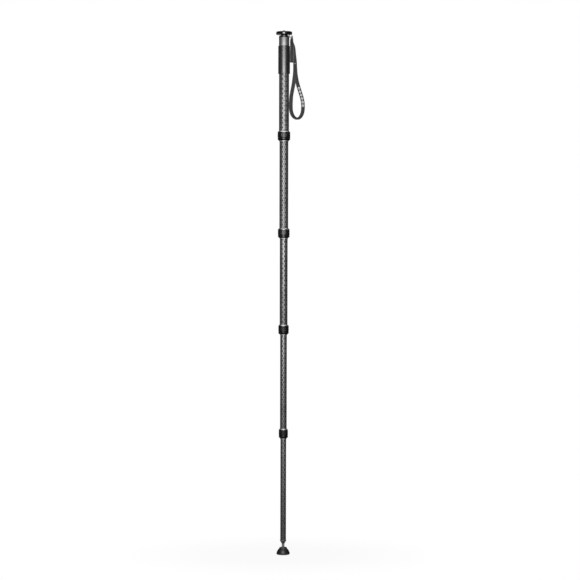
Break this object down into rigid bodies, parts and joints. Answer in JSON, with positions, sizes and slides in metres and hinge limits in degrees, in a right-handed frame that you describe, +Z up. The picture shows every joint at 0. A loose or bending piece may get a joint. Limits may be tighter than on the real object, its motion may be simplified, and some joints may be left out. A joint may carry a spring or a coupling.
{
  "type": "camera monopod",
  "caption": "Telescoping carbon camera monopod with twist locks, round screw platform, grip sleeve, wrist strap and a tilting rubber foot, fully extended.",
  "frame": {"origin": "middle of the rubber foot's sole, where it meets the ground", "axes": "+Z up along the tubes; -Y is the front, where the platform's rim screw is; the wrist strap hangs on the +X side"},
  "size_m": [0.0953, 0.053, 1.73],
  "materials": {
    "carbon": "clear-coated braided carbon fibre",
    "grip_rubber": "smooth satin rubber",
    "satin_aluminium": "satin, clear anodised",
    "black_anodised": "black anodised, fine satin",
    "pad_rubber": "matt moulded rubber",
    "steel": "turned steel",
    "black_steel": "blackened steel",
    "bright_collar": "bright machined aluminium",
    "lock_rubber": "ribbed black rubber",
    "pale_ring": "satin aluminium",
    "guide_plastic": "plain moulded plastic",
    "hard_plastic": "black moulded plastic",
    "webbing": "woven nylon webbing",
    "strap_thread": "sewing thread",
    "foot_rubber": "matt moulded rubber"
  },
  "bodies": {
    "upper": {"tube_1": "carbon", "grip_sleeve": "grip_rubber", "top_collar": "satin_aluminium", "top_cap": "black_anodised", "platform_disc": "black_anodised", "platform_pad": "pad_rubber", "platform_screw": "steel", "set_screws": "black_steel", "lock_collar_1": "bright_collar", "lock_collet_1": "guide_plastic"},
    "camera_stud": {"camera_stud": "steel"},
    "strap_ring": {"strap_ring": "steel"},
    "wrist_strap": {"strap_hanger": "webbing", "strap_loop": "webbing", "strap_bar_tacks": "strap_thread"},
    "lock_1": {"lock_nut_1": "black_anodised", "lock_grip_1": "lock_rubber", "lock_wiper_1": "pale_ring"},
    "lock_2": {"lock_nut_2": "black_anodised", "lock_grip_2": "lock_rubber", "lock_wiper_2": "pale_ring"},
    "lock_3": {"lock_nut_3": "black_anodised", "lock_grip_3": "lock_rubber", "lock_wiper_3": "pale_ring"},
    "lock_4": {"lock_nut_4": "black_anodised", "lock_grip_4": "lock_rubber", "lock_wiper_4": "pale_ring"},
    "section_2": {"tube_2": "carbon", "tube_shims_2": "guide_plastic", "lock_collar_2": "bright_collar", "lock_collet_2": "guide_plastic"},
    "section_3": {"tube_3": "carbon", "tube_shims_3": "guide_plastic", "lock_collar_3": "bright_collar", "lock_collet_3": "guide_plastic"},
    "section_4": {"tube_4": "carbon", "tube_shims_4": "guide_plastic", "lock_collar_4": "bright_collar", "lock_collet_4": "guide_plastic"},
    "section_5": {"tube_5": "carbon", "tube_shims_5": "guide_plastic", "foot_plug": "satin_aluminium"},
    "ball": {"ball_stud": "steel"},
    "liner": {"ball_liner": "guide_plastic"},
    "foot": {"foot_pad": "foot_rubber", "foot_core": "hard_plastic", "foot_retainer": "hard_plastic"}
  },
  "joints": [
    {"name": "section_2_slide", "type": "slide", "parent": "upper", "child": "section_2", "axis": [0, 0, 1], "range_m": [0, 0.2846]},
    {"name": "section_3_slide", "type": "slide", "parent": "section_2", "child": "section_3", "axis": [0, 0, 1], "range_m": [0, 0.2816]},
    {"name": "section_4_slide", "type": "slide", "parent": "section_3", "child": "section_4", "axis": [0, 0, 1], "range_m": [0, 0.3066]},
    {"name": "section_5_slide", "type": "slide", "parent": "section_4", "child": "section_5", "axis": [0, 0, 1], "range_m": [0, 0.331]},
    {"name": "lock_1_turn", "type": "hinge", "parent": "upper", "child": "lock_1", "pos_m": [0, 0, 1.3635], "axis": [0, 0, 1], "range_deg": [0, 90]},
    {"name": "lock_2_turn", "type": "hinge", "parent": "section_2", "child": "lock_2", "pos_m": [0, 0, 1.0425], "axis": [0, 0, 1], "range_deg": [0, 90]},
    {"name": "lock_3_turn", "type": "hinge", "parent": "section_3", "child": "lock_3", "pos_m": [0, 0, 0.7245], "axis": [0, 0, 1], "range_deg": [0, 90]},
    {"name": "lock_4_turn", "type": "hinge", "parent": "section_4", "child": "lock_4", "pos_m": [0, 0, 0.3815], "axis": [0, 0, 1], "range_deg": [0, 90]},
    {"name": "camera_stud_turn", "type": "hinge", "parent": "upper", "child": "camera_stud", "pos_m": [0, 0, 1.72], "axis": [0, 0, 1], "continuous": true},
    {"name": "strap_ring_turn", "type": "hinge", "parent": "upper", "child": "strap_ring", "pos_m": [0, 0, 1.71], "axis": [0, 0, 1], "continuous": true},
    {"name": "strap_swing", "type": "hinge", "parent": "strap_ring", "child": "wrist_strap", "pos_m": [0.02575, 0, 1.70726], "axis": [0, -1, 0], "range_deg": [0, 120]},
    {"name": "foot_turn", "type": "hinge", "parent": "section_5", "child": "ball", "pos_m": [0, 0, 0.013], "axis": [0, 0, 1], "continuous": true},
    {"name": "foot_tilt_x", "type": "hinge", "parent": "ball", "child": "liner", "pos_m": [0, 0, 0.013], "axis": [1, 0, 0], "range_deg": [-18, 18]},
    {"name": "foot_tilt_y", "type": "hinge", "parent": "liner", "child": "foot", "pos_m": [0, 0, 0.013], "axis": [0, 1, 0], "range_deg": [-18, 18]}
  ]
}
